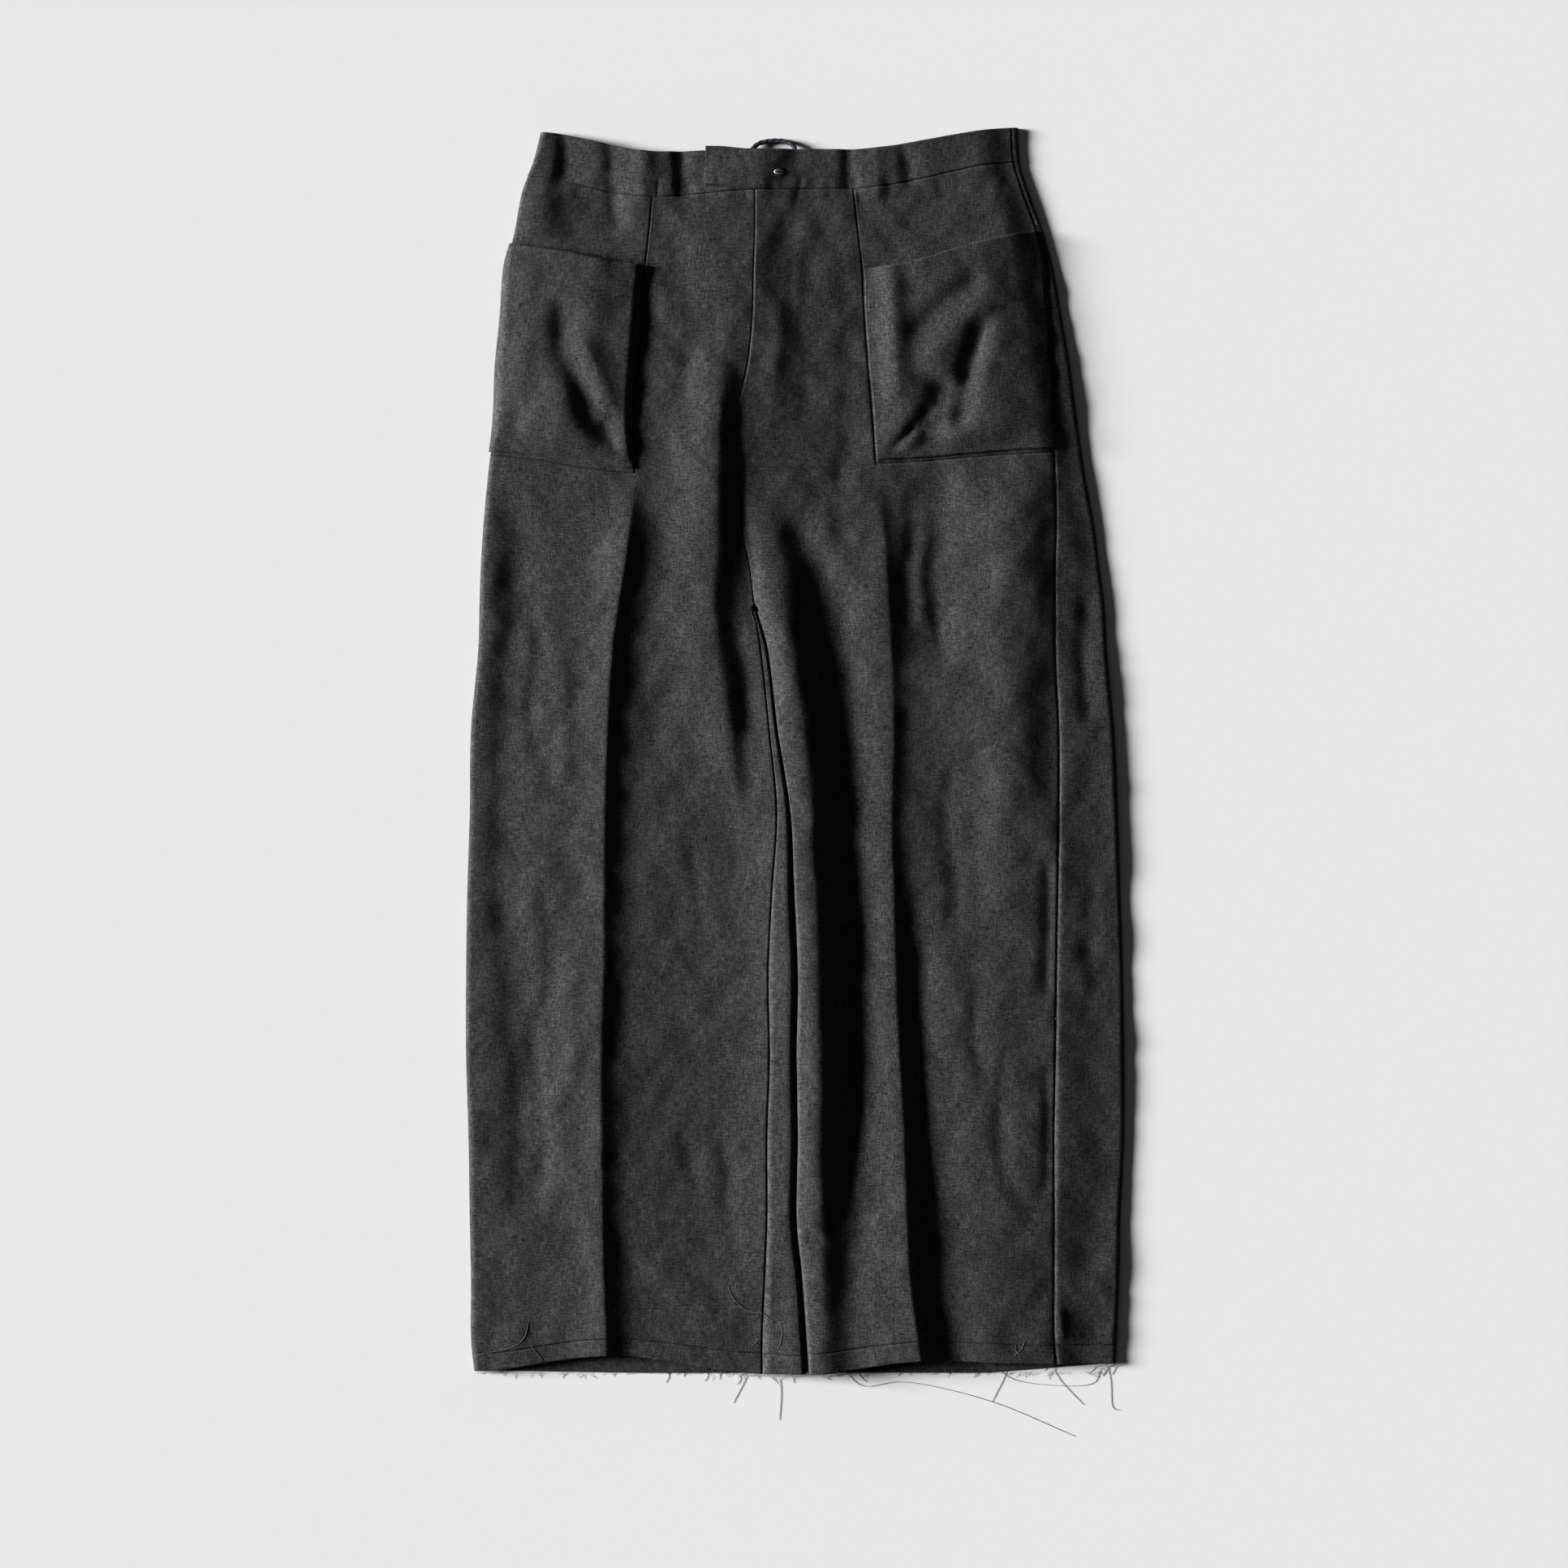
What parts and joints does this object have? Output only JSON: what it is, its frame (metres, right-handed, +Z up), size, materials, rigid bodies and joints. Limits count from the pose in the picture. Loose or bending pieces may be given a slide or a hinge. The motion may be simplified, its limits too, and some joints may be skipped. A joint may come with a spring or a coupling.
{
  "type": "wide-leg trousers",
  "caption": "Dark charcoal-brown twill wide-leg trousers, laid flat front up, with pressed creases, patch pockets, a fly with a hook tab, a drawcord loop and raw frayed hems.",
  "frame": {"origin": "on the ground under the middle of the garment laid flat", "axes": "+Y runs from the hems to the waist, +X towards the wearer's left leg, +Z up from the surface"},
  "size_m": [0.5345, 1.0633, 0.0233],
  "materials": {
    "cloth": "matt wool-like twill, dark charcoal brown with a fine brown and grey speckle",
    "braid": "matt braided cord and thread, blue black",
    "steel": "bright plated wire"
  },
  "bodies": {
    "root": {"front_right": "cloth", "front_left": "cloth", "side_yoke_right": "cloth", "side_yoke_left": "cloth", "back_right": "cloth", "back_left": "cloth", "pocket_right": "cloth", "pocket_left": "cloth", "waistband_front_right": "cloth", "waistband_front_left": "cloth", "waistband_back": "cloth", "hem_front_right": "cloth", "hem_front_left": "cloth", "hem_back_right": "cloth", "hem_back_left": "cloth", "fray_right": "cloth", "fray_left": "cloth", "hook_eyelet": "braid", "drawcord": "braid", "waist_hook": "steel"}
  },
  "joints": []
}
